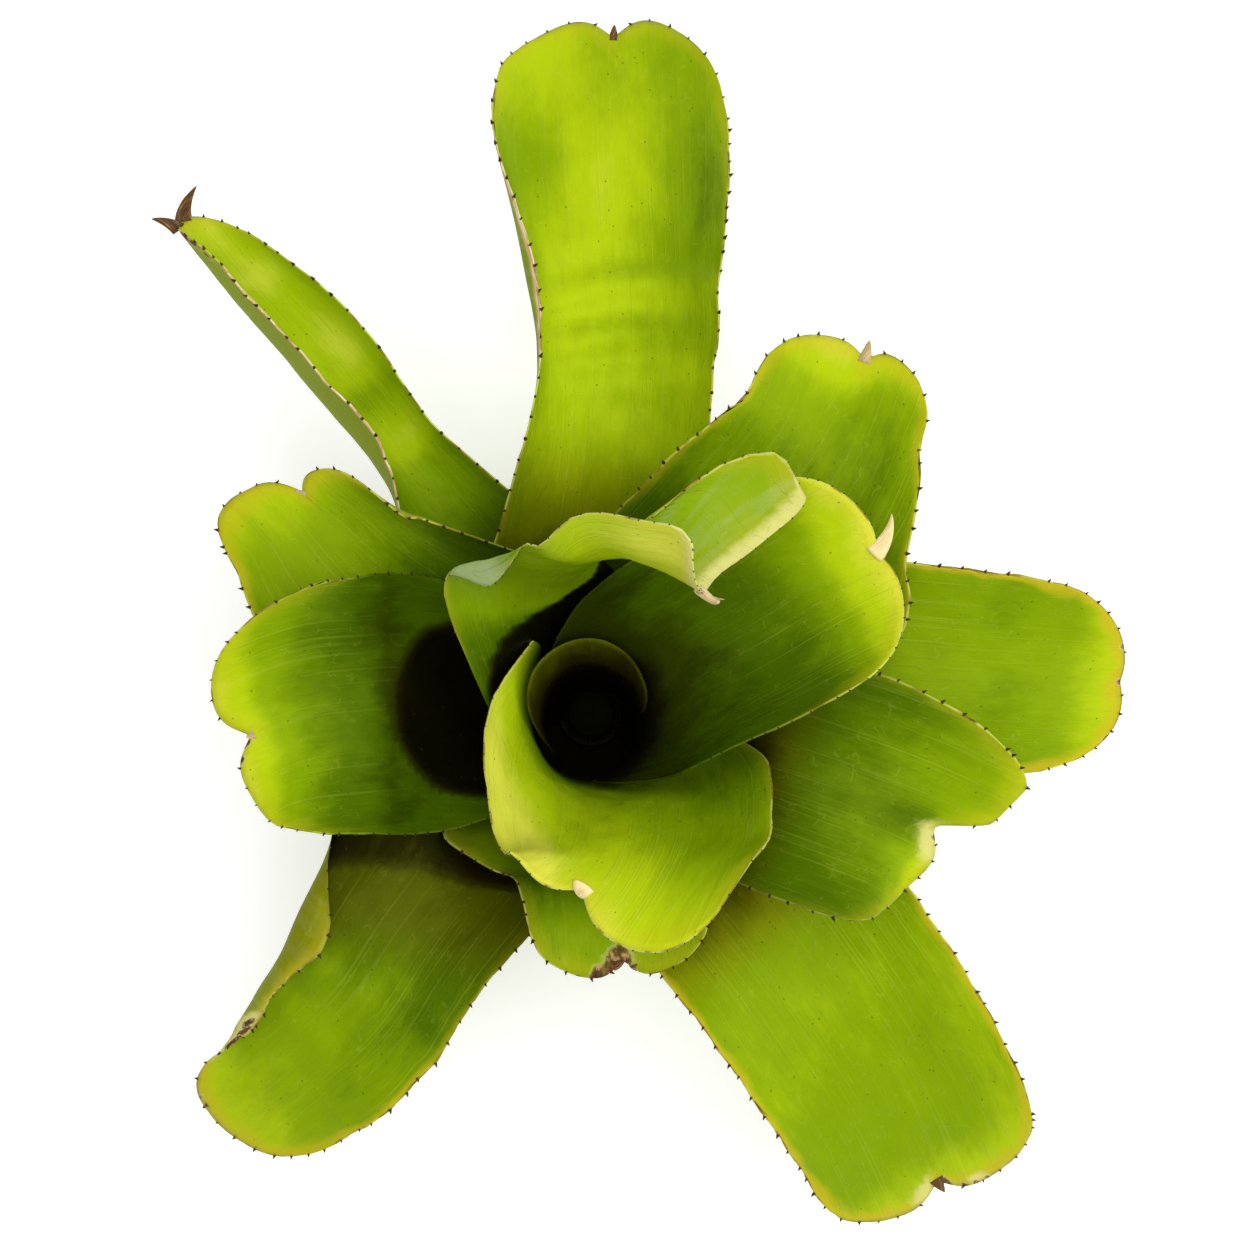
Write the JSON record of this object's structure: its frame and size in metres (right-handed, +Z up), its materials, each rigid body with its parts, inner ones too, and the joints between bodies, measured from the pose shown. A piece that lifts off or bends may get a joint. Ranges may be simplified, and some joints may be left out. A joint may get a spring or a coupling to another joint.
{
  "type": "neoregelia",
  "caption": "Bromeliad rosette cut at its stem: broad strap leaves with spiny edges spread from overlapping sheaths that form an open cup.",
  "frame": {"origin": "centre of the flat cut face at the foot of the stem", "axes": "+Z up along the stem, -Y towards the front leaf, +Y towards the longest leaf, +X to the right of the picture"},
  "size_m": [0.335, 0.424, 0.2502],
  "materials": {
    "stem_flesh": "matte",
    "leaf_01_blade": "satin",
    "leaf_02_blade": "satin",
    "leaf_03_blade": "satin",
    "leaf_04_blade": "satin",
    "leaf_05_blade": "satin",
    "leaf_06_blade": "satin",
    "leaf_07_blade": "satin",
    "leaf_08_blade": "satin",
    "leaf_09_blade": "satin",
    "leaf_10_blade": "satin",
    "leaf_11_blade": "satin",
    "leaf_12_blade": "satin",
    "leaf_13_blade": "satin",
    "leaf_14_blade": "satin"
  },
  "bodies": {
    "root": {"stem": "stem_flesh", "leaf_01": "leaf_01_blade", "leaf_02": "leaf_02_blade", "leaf_03": "leaf_03_blade", "leaf_04": "leaf_04_blade", "leaf_05": "leaf_05_blade", "leaf_06": "leaf_06_blade", "leaf_07": "leaf_07_blade", "leaf_08": "leaf_08_blade", "leaf_09": "leaf_09_blade", "leaf_10": "leaf_10_blade", "leaf_11": "leaf_11_blade", "leaf_12": "leaf_12_blade", "leaf_13": "leaf_13_blade", "leaf_14": "leaf_14_blade"}
  },
  "joints": []
}
